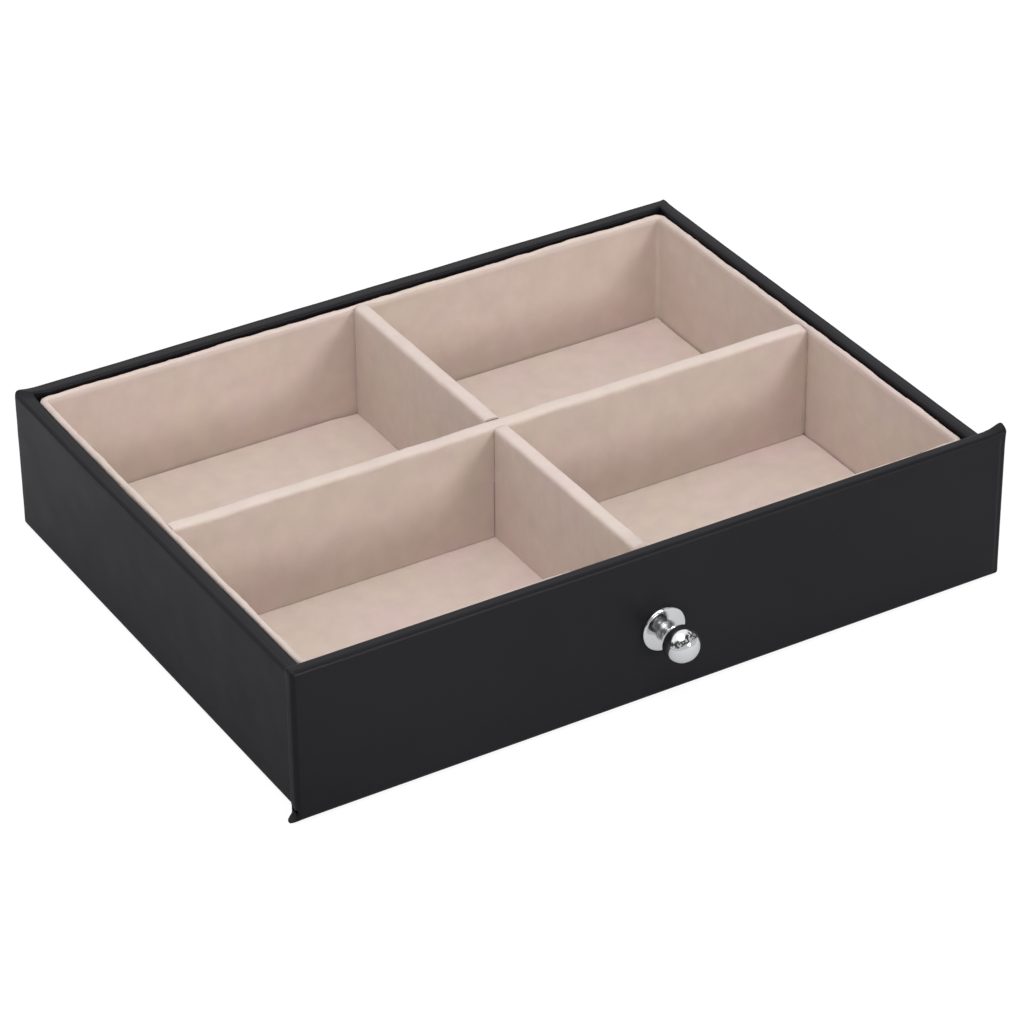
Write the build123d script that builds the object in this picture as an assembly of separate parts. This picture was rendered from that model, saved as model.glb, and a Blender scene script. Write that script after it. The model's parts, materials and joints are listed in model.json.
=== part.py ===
from build123d import *
import os

# One drawer of a jewellery box: boards covered in faux leather, a chrome knob,
# a velvet tray that drops in, and two padded dividers slotted into each other.
# Sizes are in millimetres. X runs across the drawer, +Y to the back and +Z up.
# The origin is the middle of the face that the drawer stands on, under the drawer box.

# Drawer box, measured over its leather
box_width = 250.9
box_depth = 189.75
box_height = 49.9
board_thick = 3.6
bottom_thick = 3.0
leather_thick = 0.7
rim_radius = 1.6
turn_in_depth = 18.0
turn_under_width = 12.0

# Lining sheet under the bottom
sheet_thick = 0.5
sheet_margin = 4.0
sheet_gap = 0.4

# Front panel, measured over its leather
panel_overhang = 3.25
panel_height = 53.75
panel_lift = 0.1
panel_board_thick = 3.6
panel_edge_radius = 1.1
panel_corner_radius = 1.6
panel_margin = 14.0

# Knob, with its place above the underside of the drawer box
knob_height = 24.95
ball_radius = 6.0
ball_reach = 10.5
neck_radius = 2.6
neck_foot_radius = 3.3
neck_foot_thick = 0.7
rosette_radius = 7.7
rosette_edge = 0.8
rosette_thick = 1.8
rosette_bevel = 0.7

# Screw and washer behind the knob
screw_radius = 2.0
screw_length = 12.0
screw_head_radius = 4.0
screw_head_height = 2.2
screw_head_chamfer = 0.6
recess_length = 4.4
recess_width = 0.9
recess_depth = 1.3
washer_radius = 4.5
washer_thick = 0.6
screw_gap = 0.15
thread_gap = 0.05
thread_runout = 2.5
access_gap = 0.5

# Lining tray
tray_side_gap = 0.4
tray_front_gap = 0.4
tray_back_gap = 1.1
tray_drop = 1.3
seat_gap = 0.2
card_thick = 0.8
velvet_thick = 0.4
tray_corner_radius = 3.0
velvet_lip_radius = 0.7
velvet_turn_over = 12.0
pad_thick = 2.0
pad_velvet_thick = 0.55
pad_gap = 0.4
pad_edge_radius = 0.4

# Dividers
divider_core_thick = 2.4
divider_cover_thick = 1.5
divider_edge_radius = 2.3
divider_end_gap = 0.3
long_divider_y = -2.275
cross_divider_x = -0.65
lap_side_gap = 0.3
lap_front_gap = 0.25
lap_back_gap = 0.7
lap_height_gap = 0.3

# Places that follow from the sizes
wall_thick = board_thick + 2 * leather_thick
lip_thick = board_thick + leather_thick
front_y = -box_depth / 2
back_y = box_depth / 2
under_z = sheet_thick
rim_z = under_z + box_height
inner_half_width = box_width / 2 - wall_thick
inner_front_y = front_y + lip_thick
inner_back_y = back_y - wall_thick
bottom_board_top = under_z + leather_thick + bottom_thick
knob_z = under_z + knob_height
panel_half_width = box_width / 2 + panel_overhang
panel_thick = panel_board_thick + 2 * leather_thick
panel_bottom = under_z + panel_lift
panel_top = panel_bottom + panel_height
panel_face_y = front_y - panel_thick
screw_seat_y = front_y - leather_thick
tray_half_width = inner_half_width - tray_side_gap
tray_front_y = inner_front_y + tray_front_gap
tray_back_y = inner_back_y - tray_back_gap
tray_bottom = bottom_board_top + seat_gap
tray_top = rim_z - tray_drop
card_floor_top = tray_bottom + card_thick
lining_thick = card_thick + 2 * velvet_thick
floor_z = card_floor_top + pad_thick + pad_velvet_thick
divider_thick = divider_core_thick + 2 * divider_cover_thick
divider_bottom = floor_z + seat_gap
divider_top = tray_top
divider_middle = (divider_bottom + divider_top) / 2
clear_over = 5.0
cut_overrun = 1.0


def block(x_span, y_span, z_span):
    """A block between two X, two Y and two Z values."""
    middle = [(span[0] + span[1]) / 2 for span in (x_span, y_span, z_span)]
    size = [span[1] - span[0] for span in (x_span, y_span, z_span)]
    return Pos(*middle) * Box(*size)


def about(half):
    """The span from minus to plus a half width."""
    return (-half, half)


def turned(profile, at_y):
    """A profile of radius and distance forward, turned about the knob's axis from a given Y."""
    solid = revolve(profile, Axis.Y)
    return Pos(0, at_y, knob_z) * solid


def knob_bore(radius, y_span):
    """A round bore on the knob's axis."""
    length = y_span[1] - y_span[0]
    middle = (y_span[0] + y_span[1]) / 2
    return Pos(0, middle, knob_z) * Rot(90, 0, 0) * Cylinder(radius, length)


def box_case(inset):
    """The drawer box as a full block, drawn in by inset from the leather's surface."""
    return block(
        about(box_width / 2 - inset),
        (front_y, back_y - inset),
        (under_z + inset, rim_z - inset),
    )


def box_hollow(inset):
    """The space inside the walls, larger by inset than it is inside the leather."""
    return block(
        about(inner_half_width + inset),
        (inner_front_y - inset, inner_back_y + inset),
        (bottom_board_top, rim_z + clear_over),
    )


def board_shell():
    """All the boards of the box as one shell, square-edged but for the two back corners."""
    case = box_case(leather_thick)
    upright_edges = case.edges().filter_by(Axis.Z)
    back_corners = upright_edges.filter_by(lambda edge: edge.center().Y > 0)
    case = fillet(back_corners, rim_radius - leather_thick)
    return case - box_hollow(leather_thick)


def leather_shell():
    """The leather's outer surface as a shell, soft along every edge behind the panel."""
    case = box_case(0)
    edges_behind_the_panel = case.edges().filter_by(lambda edge: edge.center().Y > front_y + rim_radius)
    case = fillet(edges_behind_the_panel, rim_radius)
    shell = case - box_hollow(0)
    rim = shell.faces().sort_by(Axis.Z)[-1]
    return fillet(rim.inner_wires()[0].edges(), rim_radius)


def box_boards():
    """The four walls and the bottom, cut from the shell where they butt together."""
    shell = board_shell()
    wall_zone = (bottom_board_top, rim_z)
    side_zone = (inner_half_width + leather_thick, box_width)
    between = about(inner_half_width + leather_thick)
    bottom = shell & block(about(box_width), about(box_depth), (0, bottom_board_top))
    right = shell & block(side_zone, about(box_depth), wall_zone)
    left = shell & block((-side_zone[1], -side_zone[0]), about(box_depth), wall_zone)
    back = shell & block(between, (0, box_depth), wall_zone)
    front = shell & block(between, (-box_depth, 0), wall_zone)
    access_span = (front_y - cut_overrun, inner_front_y + cut_overrun)
    access = knob_bore(washer_radius + access_gap, access_span)
    return {
        "bottom_board": bottom,
        "left_board": left,
        "right_board": right,
        "back_board": back,
        "inner_front_board": front - access,
    }


def box_leather():
    """Leather on the box: round the sides, in over the rim and under the bottom."""
    skin = leather_shell() - board_shell()
    bare_wall = block(
        about(inner_half_width + leather_thick),
        (front_y, inner_back_y + leather_thick),
        (under_z + leather_thick, rim_z - turn_in_depth),
    )
    bare_bottom = block(
        about(box_width / 2 - turn_under_width),
        (front_y, back_y - turn_under_width),
        (0, under_z + leather_thick),
    )
    skin = skin - bare_wall - bare_bottom
    lip_zone = block(
        about(inner_half_width),
        (front_y, inner_front_y),
        (bottom_board_top, rim_z),
    )
    return {"side_wrap": skin - lip_zone, "front_lip_wrap": skin & lip_zone}


def base_sheet():
    """Lining sheet that laps over the turned-under leather and fills the field inside it."""
    lap = block(
        about(box_width / 2 - sheet_margin),
        (front_y + sheet_gap, back_y - sheet_margin),
        (0, sheet_thick),
    )
    field = block(
        about(box_width / 2 - turn_under_width - sheet_gap),
        (front_y + sheet_gap, back_y - turn_under_width - sheet_gap),
        (sheet_thick, under_z + leather_thick),
    )
    return lap + field


def panel_slab(inset):
    """The front panel with its corners rounded, drawn in by inset from the leather's surface."""
    slab = block(
        about(panel_half_width - inset),
        (panel_face_y + inset, front_y - inset),
        (panel_bottom + inset, panel_top - inset),
    )
    corners = slab.edges().filter_by(Axis.Y)
    return fillet(corners, panel_corner_radius - inset)


def front_panel():
    """The panel's board and the leather over its face and edges, turned in at the back."""
    board = panel_slab(leather_thick)
    outside = panel_slab(0)
    outside = fillet(outside.faces().sort_by(Axis.Y)[0].edges(), panel_edge_radius)
    outside = fillet(outside.faces().sort_by(Axis.Y)[-1].edges(), panel_edge_radius)
    field = block(
        about(panel_half_width - panel_margin),
        (screw_seat_y, front_y),
        (panel_bottom + panel_margin, panel_top - panel_margin),
    )
    screw_way_span = (panel_face_y - cut_overrun, front_y + cut_overrun)
    screw_way = knob_bore(screw_radius + screw_gap, screw_way_span)
    wrap = outside - board - field
    return {"front_board": board - screw_way, "front_wrap": wrap - screw_way}


def knob_rosette():
    """Round plate with a bevelled edge and a low cone up to the neck."""
    bore = screw_radius + screw_gap
    outline = Polyline(
        (bore, 0),
        (rosette_radius, 0),
        (rosette_radius, -rosette_edge),
        (rosette_radius - rosette_bevel, -rosette_edge - rosette_bevel),
        (neck_foot_radius, -rosette_thick),
        (bore, -rosette_thick),
        close=True,
    )
    return turned(make_face(outline), panel_face_y)


def knob_ball():
    """Ball on a waisted neck, turned in one piece and bored for the screw from its foot."""
    bore = screw_radius + thread_gap
    bore_end = screw_seat_y + washer_thick - screw_length - thread_runout - panel_face_y
    foot = -rosette_thick
    collar = foot - neck_foot_thick
    ball_tip = -ball_reach - ball_radius
    neck_end = -ball_reach + (ball_radius**2 - neck_radius**2) ** 0.5
    waist = (collar + neck_end) / 2
    outline = Polyline(
        (0, ball_tip),
        (0, bore_end),
        (bore, bore_end),
        (bore, foot),
        (neck_foot_radius, foot),
        (neck_foot_radius, collar),
        (neck_radius, waist),
        (neck_radius, neck_end),
    )
    outline += ThreePointArc((neck_radius, neck_end), (ball_radius, -ball_reach), (0, ball_tip))
    return turned(make_face(outline), panel_face_y)


def knob_screw():
    """Flat-topped screw with a cross recess, its head behind the panel's board."""
    under_head = screw_seat_y + washer_thick
    head_end = under_head + screw_head_height
    shank = knob_bore(screw_radius, (under_head - screw_length, under_head))
    head = knob_bore(screw_head_radius, (under_head, head_end))
    outer_edge = head.faces().sort_by(Axis.Y)[-1].edges()
    head = chamfer(outer_edge, screw_head_chamfer)
    recess_span = (head_end - recess_depth, head_end)
    flat_slot = block(about(recess_length / 2), recess_span, about(recess_width / 2))
    tall_slot = block(about(recess_width / 2), recess_span, about(recess_length / 2))
    recess = Pos(0, 0, knob_z) * (flat_slot + tall_slot)
    return shank + head - recess


def knob_washer():
    """Washer between the screw's head and the panel's board."""
    span = (screw_seat_y, screw_seat_y + washer_thick)
    return knob_bore(washer_radius, span) - knob_bore(screw_radius + screw_gap, span)


def tray_block(inset, z_span):
    """A square-cornered block of the tray's length and width, drawn in by inset."""
    y_span = (tray_front_y + inset, tray_back_y - inset)
    return block(about(tray_half_width - inset), y_span, z_span)


def tray_slab(inset, z_span):
    """The same block with the tray's rounded corners, drawn in by the same inset."""
    slab = tray_block(inset, z_span)
    return fillet(slab.edges().filter_by(Axis.Z), tray_corner_radius - inset)


def tray_cards():
    """Floor card and four wall cards; the side cards are bent round at their ends."""
    card_span = (card_floor_top, tray_top - velvet_thick)
    ring = tray_slab(velvet_thick, card_span) - tray_slab(velvet_thick + card_thick, card_span)
    bend = tray_half_width - tray_corner_radius
    between = about(bend)
    return {
        "tray_floor_card": tray_slab(velvet_thick, (tray_bottom, card_floor_top)),
        "tray_left_card": ring & block((-box_width, -bend), about(box_depth), card_span),
        "tray_right_card": ring & block((bend, box_width), about(box_depth), card_span),
        "tray_front_card": ring & block(between, (-box_depth, 0), card_span),
        "tray_back_card": ring & block(between, (0, box_depth), card_span),
    }


def wall_velvet():
    """Velvet inside the tray's walls, over their top edge and part of the way down outside."""
    full_span = (card_floor_top, tray_top)
    lining = tray_slab(0, full_span) - tray_slab(lining_thick, full_span)
    lip = lining.faces().sort_by(Axis.Z)[-1]
    lining = fillet(lip.edges(), velvet_lip_radius)
    card_span = (card_floor_top, tray_top - velvet_thick)
    cards = tray_slab(velvet_thick, card_span) - tray_slab(velvet_thick + card_thick, card_span)
    bare_span = (card_floor_top, tray_top - velvet_turn_over)
    bare_outside = tray_slab(0, bare_span) - tray_slab(velvet_thick, bare_span)
    return lining - cards - bare_outside


def floor_cushioning():
    """Thin foam pad and the velvet over its top and edges."""
    pad_inset = lining_thick + pad_gap
    cover = tray_block(pad_inset, (card_floor_top, floor_z))
    cover = fillet(cover.faces().sort_by(Axis.Z)[-1].edges(), pad_edge_radius)
    foam_top = floor_z - pad_velvet_thick
    foam = tray_block(pad_inset + pad_velvet_thick, (card_floor_top, foam_top))
    return {"floor_pad": foam, "floor_velvet": cover - foam}


def divider_body(length):
    """A padded divider along X, rounded over its top, lengthwise and at both ends."""
    body = block(about(length / 2), about(divider_thick / 2), (divider_bottom, divider_top))
    top_edges = body.faces().sort_by(Axis.Z)[-1].edges()
    return fillet(top_edges, divider_edge_radius)


def divider_core(length):
    """The card inside a padded divider."""
    half_length = length / 2 - divider_cover_thick
    core_top = divider_top - divider_cover_thick
    return block(about(half_length), about(divider_core_thick / 2), (divider_bottom, core_top))


def long_divider():
    """Side-to-side divider, slotted from below to drop over the short one."""
    length = 2 * (tray_half_width - lining_thick - divider_end_gap)
    place = Pos(0, long_divider_y, 0)
    slot = block(
        (cross_divider_x - divider_thick / 2 - lap_side_gap,
         cross_divider_x + divider_thick / 2 + lap_side_gap),
        about(box_depth),
        (0, divider_middle + lap_height_gap / 2),
    )
    core = place * divider_core(length) - slot
    cover = place * divider_body(length) - slot - core
    return {"long_divider_card": core, "long_divider_velvet": cover}


def cross_divider():
    """Front-to-back divider, slotted from above to take the long one."""
    length = tray_back_y - tray_front_y - 2 * (lining_thick + divider_end_gap)
    middle = (tray_front_y + tray_back_y) / 2
    place = Pos(cross_divider_x, middle, 0) * Rot(0, 0, 90)
    slot = block(
        about(box_width),
        (long_divider_y - divider_thick / 2 - lap_front_gap,
         long_divider_y + divider_thick / 2 + lap_back_gap),
        (divider_middle - lap_height_gap / 2, rim_z),
    )
    core = place * divider_core(length) - slot
    cover = place * divider_body(length) - slot - core
    return {"cross_divider_card": core, "cross_divider_velvet": cover}


pieces = {
    "base_sheet": base_sheet(),
    "knob_rosette": knob_rosette(),
    "knob_ball": knob_ball(),
    "knob_screw": knob_screw(),
    "knob_washer": knob_washer(),
    "wall_velvet": wall_velvet(),
}
for group in (
    box_boards(),
    box_leather(),
    front_panel(),
    tray_cards(),
    floor_cushioning(),
    long_divider(),
    cross_divider(),
):
    pieces.update(group)

os.makedirs("parts", exist_ok=True)
for name, solid in pieces.items():
    export_step(solid, f"parts/{name}.step")
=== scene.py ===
import json
import math

import bmesh
import bpy
import numpy as np
from mathutils import Matrix, Vector


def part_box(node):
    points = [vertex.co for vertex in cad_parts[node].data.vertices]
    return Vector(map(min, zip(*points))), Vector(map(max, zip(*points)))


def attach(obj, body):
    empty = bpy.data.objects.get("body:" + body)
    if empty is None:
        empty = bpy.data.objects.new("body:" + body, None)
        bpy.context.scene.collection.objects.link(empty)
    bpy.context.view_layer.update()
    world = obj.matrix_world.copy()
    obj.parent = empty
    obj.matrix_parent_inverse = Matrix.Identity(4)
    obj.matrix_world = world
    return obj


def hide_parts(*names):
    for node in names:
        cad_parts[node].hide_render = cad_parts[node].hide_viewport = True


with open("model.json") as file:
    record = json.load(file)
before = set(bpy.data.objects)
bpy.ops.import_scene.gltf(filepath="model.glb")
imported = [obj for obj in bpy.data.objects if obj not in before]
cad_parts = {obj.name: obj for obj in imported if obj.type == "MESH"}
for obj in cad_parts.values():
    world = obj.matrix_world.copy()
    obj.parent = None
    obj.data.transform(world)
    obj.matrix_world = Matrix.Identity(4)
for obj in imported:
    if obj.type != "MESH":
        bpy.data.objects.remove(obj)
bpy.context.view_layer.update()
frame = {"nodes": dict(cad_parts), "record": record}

# A jewellery-box drawer: black faux leather over boards, a chrome ball knob, and a
# beige velvet lining with two padded dividers. Lengths are in metres.

mm = 0.001


# Places taken from the frame

def span(name):
    """Lowest and highest corner of a piece of the frame, as arrays."""
    low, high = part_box(name)
    return np.array(low), np.array(high)


case_low, case_high = span("side_wrap")
lip_low, lip_high = span("front_lip_wrap")
panel_low, panel_high = span("front_wrap")
tray_low, tray_high = span("wall_velvet")
pad_low, pad_high = span("floor_velvet")
foam_low, foam_high = span("floor_pad")
long_low, long_high = span("long_divider_velvet")
cross_low, cross_high = span("cross_divider_velvet")
long_core_low, long_core_high = span("long_divider_card")
cross_core_low, cross_core_high = span("cross_divider_card")
ball_low, ball_high = span("knob_ball")
plate_low, plate_high = span("knob_rosette")
wall_card_low, wall_card_high = span("tray_front_card")

leather_thick = span("left_board")[0][0] - case_low[0]
wall_thick = case_high[0] - lip_high[0]
velvet_thick = wall_card_low[1] - tray_low[1]
lining_thick = wall_card_high[1] - tray_low[1] + velvet_thick
long_y = (long_low[1] + long_high[1]) / 2
cross_x = (cross_low[0] + cross_high[0]) / 2
cross_half = (cross_high[0] - cross_low[0]) / 2
lap_level = (cross_low[2] + cross_high[2]) / 2

# Sizes that the frame doesn't give: the drawer box's leather
rim_radius = 1.6 * mm
rim_crown = 0.16 * mm
inner_rim_radius = 0.8 * mm
foot_radius = 1.2 * mm
turn_under = 12 * mm
case_corner_radius = 2.1 * mm

# How the leather gives at the rim: its folded back corners, the left side's lean and sink,
# and the back's inward roll
back_left_fold = 0.75 * mm
back_right_fold = 0.45 * mm
left_lean = 0.42 * mm
outer_sink = 0.21 * mm
inner_sink = 0.49 * mm
back_roll = 0.8 * mm
back_lift = 0.22 * mm

# The front panel's leather
panel_corner_radius = 1.2 * mm
panel_edge_radius = 1.7 * mm
panel_margin = 14 * mm
face_inset = 4 * mm
ground_gap = 0.05 * mm

# Corners of the panel where the leather is gathered: side, top or bottom, push outward and away,
# reach, and how far back in the panel's thickness it is greatest
corner_folds = [
    (1, 1, 1.1 * mm, 1.7 * mm, 2.8 * mm, 0.8),
    (-1, -1, 3.0 * mm, 0.6 * mm, 0.95 * mm, 0.4),
    (-1, 1, 0.2 * mm, 0.15 * mm, 2.2 * mm, 0.8),
    (1, -1, 0.2 * mm, 0.1 * mm, 2.2 * mm, 0.5),
]
fold_depth = 0.55

# Along the panel's ends: the right end's fold with a groove beside it, and the left end's pinch
end_reach = 1.6 * mm
right_fold = 0.75 * mm
right_fold_middle = 0.15
right_fold_depth = 0.5
groove_depth = 0.3 * mm
groove_from_end = 1.5 * mm
groove_reach = 0.45 * mm
left_draw = 0.2 * mm
pinch_draw = 0.7 * mm
pinch_height = 2.6 * mm
pinch_reach = 1.5 * mm

# The chrome knob
bore_radius = 2.05 * mm
bore_floor_depth = 1.5 * mm
neck_radius = 2.6 * mm
neck_foot_radius = 3.3 * mm
neck_foot_thick = 0.7 * mm
collar_round = 0.2 * mm
plate_rim = 0.8 * mm
plate_round = 0.15 * mm
plate_bevel = 0.7 * mm

# The tray's lining
tray_corner_radius = 3.3 * mm
lip_radius = 0.78 * mm
velvet_turn_over = 12 * mm
lip_roll = 0.42 * mm
left_roll_more = 0.2 * mm
over_card_limits = (-0.1 * mm, 0.15 * mm)
left_outer_shift = 0.15 * mm
left_inner_shift = 0.7 * mm
left_shift_reach = 28 * mm
right_shift = 0.12 * mm
back_shift = 0.15 * mm
shift_width = 4 * mm
floor_corner_radius = 0.8 * mm
floor_edge_radius = 0.6 * mm
cushion_rise = 0.42 * mm
back_edge_rise = 0.6 * mm
right_edge_rise = 0.35 * mm
edge_rise_reach = 9 * mm

# The dividers' padded covers
cover_crown = 2.0 * mm
cover_end_swell = 0.12 * mm
lap_side_gap = 0.3 * mm
lap_front_gap = 0.12 * mm
lap_back_gap = 0.7 * mm
lap_half_gap = 0.15 * mm


# Curves and surfaces

def run(start, end, count):
    """A straight run of evenly spaced points from start to end."""
    share = np.linspace(0, 1, count)[:, None]
    return (1 - share) * np.array(start) + share * np.array(end)


def arc(centre, radius, start, end, count):
    """Points on a circle's arc between two angles in degrees: centre plus radius times (cosine, sine)."""
    angle = np.radians(np.linspace(start, end, count))
    return np.array(centre) + radius * np.stack([np.cos(angle), np.sin(angle)], -1)


def ripple(points, wavelength, seed):
    """Soft unevenness of about -1 to 1: seven sine waves of about one length, each in its own direction,
    added up."""
    count = 7
    chance = np.random.default_rng(seed)
    direction = chance.normal(size=(count, 3))
    direction /= np.linalg.norm(direction, axis=1, keepdims=True)
    length = wavelength * chance.uniform(0.7, 1.6, count)
    phase = chance.uniform(0, 2 * np.pi, count)
    waves = np.sin(2 * np.pi * (points @ (direction / length[:, None]).T) + phase)
    return waves.sum(-1) / count ** 0.5


def uneven(points, *ripples):
    """Ripples added up, each given as height, wavelength and seed."""
    return sum(height * ripple(points, wavelength, seed) for height, wavelength, seed in ripples)


def eased(value, low, high):
    """Rises smoothly from 0 at low to 1 at high: three squares less two cubes of the share between them."""
    share = np.clip((value - low) / (high - low), 0, 1)
    return share * share * (3 - 2 * share)


def fading(distance, reach):
    """1 at no distance, falling off by the bell curve: e to the minus square of distance over reach."""
    return np.exp(-(distance / reach) ** 2)


def outward_normals(points, column):
    """Unit normals of a grid of rows of closed loops: the cross product of the steps along and across it.
    The given column lies on the outer face, and its early points, on the right-hand side, show which way
    is outward."""
    across = np.roll(points, -1, 1) - np.roll(points, 1, 1)
    along = np.gradient(points, axis=0)
    out = np.cross(along, across)
    out /= np.maximum(np.linalg.norm(out, axis=-1, keepdims=True), 1e-12)
    return out * np.sign(out[10, column, 0])


def loop_points(low, high, corner, inset, counts, open_front=False):
    """Points round a rectangle with round corners, drawn in by each inset. Each corner is a quarter circle of
    the corner radius less the inset, and each side a straight run between them. open_front leaves out the
    low side. counts are the points of the sides across, of the sides along and of a corner."""
    inset = np.asarray(inset)
    radius = np.maximum(corner - inset, 0)
    across, along, bend = counts
    left, right = low[0] + inset + radius, high[0] - inset - radius
    near, far = low[1] + inset + radius, high[1] - inset - radius
    start = np.full_like(inset, low[1]) if open_front else near

    def side(x0, y0, x1, y1, count):
        share = np.linspace(0, 1, count)[:, None]
        return np.stack([(1 - share) * x0 + share * x1, (1 - share) * y0 + share * y1], -1)

    def quarter(x, y, first):
        angle = np.radians(first + np.linspace(0, 90, bend + 2)[1:-1])[:, None]
        return np.stack([x + radius * np.cos(angle), y + radius * np.sin(angle)], -1)

    parts = [
        side(high[0] - inset, start, high[0] - inset, far, along),
        quarter(right, far, 0),
        side(right, high[1] - inset, left, high[1] - inset, across),
        quarter(left, far, 90),
        side(low[0] + inset, far, low[0] + inset, start, along),
    ]
    if not open_front:
        parts += [
            quarter(left, near, 180),
            side(left, low[1] + inset, right, low[1] + inset, across),
            quarter(right, near, 270),
        ]
    return np.concatenate(parts)


def carried(section, low, high, corner, counts, open_front=False):
    """A section of (inset, height) carried round a rectangle: a grid with a row for each place round it."""
    plan = loop_points(low, high, corner, section[:, 0], counts, open_front)
    heights = np.broadcast_to(section[:, 1], plan.shape[:2])
    return np.concatenate([plan, heights[..., None]], -1)


def field(low, high, inset, counts, level):
    """A flat grid at one level, inside a rectangle drawn in by the inset."""
    x = np.linspace(low[0] + inset, high[0] - inset, counts[0])
    y = np.linspace(low[1] + inset, high[1] - inset, counts[1])
    y, x = np.meshgrid(y, x, indexing="ij")
    return np.stack([x, y, np.full_like(x, level)], -1)


def quads(rows, columns, close_rows=False, close_columns=False):
    """Four-sided faces of a grid numbered row by row, closed round in either direction."""
    row = np.arange(rows if close_rows else rows - 1)[:, None]
    column = np.arange(columns if close_columns else columns - 1)[None, :]
    next_row, next_column = (row + 1) % rows, (column + 1) % columns
    corners = [
        row * columns + column,
        row * columns + next_column,
        next_row * columns + next_column,
        next_row * columns + column,
    ]
    return np.stack(corners, -1).reshape(-1, 4).tolist()


def piece(name, grids, crease=35):
    """A closed mesh from one or more grids of points, with doubles merged and normals outward. A grid is
    (points, close_rows, close_columns, capped). Edges that bend by more than the crease stay sharp."""
    merged_within, thinnest = 0.002 * mm, 0.001 * mm
    vertices, faces, first = [], [], 0
    for points, close_rows, close_columns, capped in grids:
        rows, columns = points.shape[:2]
        made = quads(rows, columns, close_rows, close_columns)
        if capped:
            made += [list(range(columns)), list(range((rows - 1) * columns, rows * columns))]
        faces += [[first + corner for corner in face] for face in made]
        vertices.append(points.reshape(-1, 3))
        first += rows * columns
    mesh = bpy.data.meshes.new(name)
    mesh.from_pydata(np.concatenate(vertices).tolist(), [], faces)
    work = bmesh.new()
    work.from_mesh(mesh)
    bmesh.ops.remove_doubles(work, verts=work.verts, dist=merged_within)
    bmesh.ops.dissolve_degenerate(work, edges=work.edges, dist=thinnest)
    bmesh.ops.recalc_face_normals(work, faces=work.faces)
    work.to_mesh(mesh)
    work.free()
    mesh.shade_smooth()
    mesh.set_sharp_from_angle(angle=math.radians(crease))
    made = bpy.data.objects.new(name, mesh)
    bpy.context.scene.collection.objects.link(made)
    return made


# Shader nodes

def node(tree, kind, inputs=(), **settings):
    """Adds a shader node, with its settings and the values or links of its inputs."""
    made = tree.nodes.new("ShaderNode" + kind)
    for name, value in settings.items():
        setattr(made, name, value)
    for name, value in dict(inputs).items():
        if isinstance(value, bpy.types.NodeSocket):
            tree.links.new(value, made.inputs[name])
        else:
            made.inputs[name].default_value = value
    return made


def worked_out(tree, operation, *values):
    """The result of a sum on values or links."""
    return node(tree, "Math", dict(enumerate(values)), operation=operation).outputs[0]


def ramped(tree, value, start, end, low=0.0, high=1.0):
    """A value spread evenly from low at the start to high at the end, and held beyond them."""
    limits = {"From Min": start, "From Max": end, "To Min": low, "To Max": high}
    return node(tree, "MapRange", {"Value": value, **limits}).outputs["Result"]


def blend(tree, share, first, second):
    """A colour between two, by a share. Each of the two is a colour or a link."""
    inputs = {"Fac": share}
    for name, colour in (("Color1", first), ("Color2", second)):
        inputs[name] = colour if isinstance(colour, bpy.types.NodeSocket) else (*colour, 1)
    return node(tree, "MixRGB", inputs).outputs["Color"]


def speckle(tree, place, size, detail=2.0, squeeze=(1, 1, 1)):
    """Noise whose patches are about the given size across, squeezed along an axis where asked."""
    laid = node(tree, "Mapping", {"Vector": place, "Scale": [factor / size for factor in squeeze]})
    inputs = {"Vector": laid.outputs["Vector"], "Scale": 1.0, "Detail": detail}
    return node(tree, "TexNoise", inputs).outputs["Fac"]


def pores(tree, place, size, feature):
    """Distance from the middle of the nearest of many cells, which are about the given size across."""
    return node(tree, "TexVoronoi", {"Vector": place, "Scale": 1 / size}, feature=feature).outputs["Distance"]


def between(tree, pattern, low, high):
    """Spreads a pattern's middle range over two values."""
    middle_range = (0.3, 0.7)
    return ramped(tree, pattern, *middle_range, low, high)


def tint(tree, pattern, first, second):
    """A colour between two, by a pattern."""
    return blend(tree, between(tree, pattern, 0, 1), first, second)


def relief(tree, height, depth, under=None):
    """Surface relief of a pattern, over another relief if there is one."""
    inputs = {"Height": height, "Strength": 1.0, "Distance": depth}
    if under is not None:
        inputs["Normal"] = under
    return node(tree, "Bump", inputs).outputs["Normal"]


def new_finish(name, settings):
    """A finish with its plain values on the shader's own sockets, and the Object coordinates for its
    patterns."""
    finish = bpy.data.materials.new(name)
    finish.use_nodes = True
    tree = finish.node_tree
    shader = tree.nodes["Principled BSDF"]
    for socket, value in settings.items():
        shader.inputs[socket].default_value = value
    return finish, tree, node(tree, "TexCoord").outputs["Object"]


def laid_on(finish, patterns):
    """The finish with patterns linked to its shader's sockets, by the sockets' names."""
    tree = finish.node_tree
    for socket, pattern in patterns.items():
        tree.links.new(pattern, tree.nodes["Principled BSDF"].inputs[socket])
    return finish


# Finishes

def leather_finish():
    """Smooth black faux leather: a satin skin with a faint fine grain and slightly uneven gloss."""
    finish, tree, place = new_finish("black_faux_leather", {"IOR": 1.32, "Specular IOR Level": 0.38})
    clouds = speckle(tree, place, 30 * mm, 3)
    colour = tint(tree, clouds, (0.0070, 0.0060, 0.0080), (0.0084, 0.0073, 0.0095))
    gloss = between(tree, speckle(tree, place, 18 * mm, 3), 0.42, 0.47)
    grain = relief(tree, pores(tree, place, 0.55 * mm, "SMOOTH_F1"), 0.012 * mm)
    pull = relief(tree, speckle(tree, place, 9 * mm, 2), 0.012 * mm, grain)
    return laid_on(finish, {"Base Color": colour, "Roughness": gloss, "Normal": pull})


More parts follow.
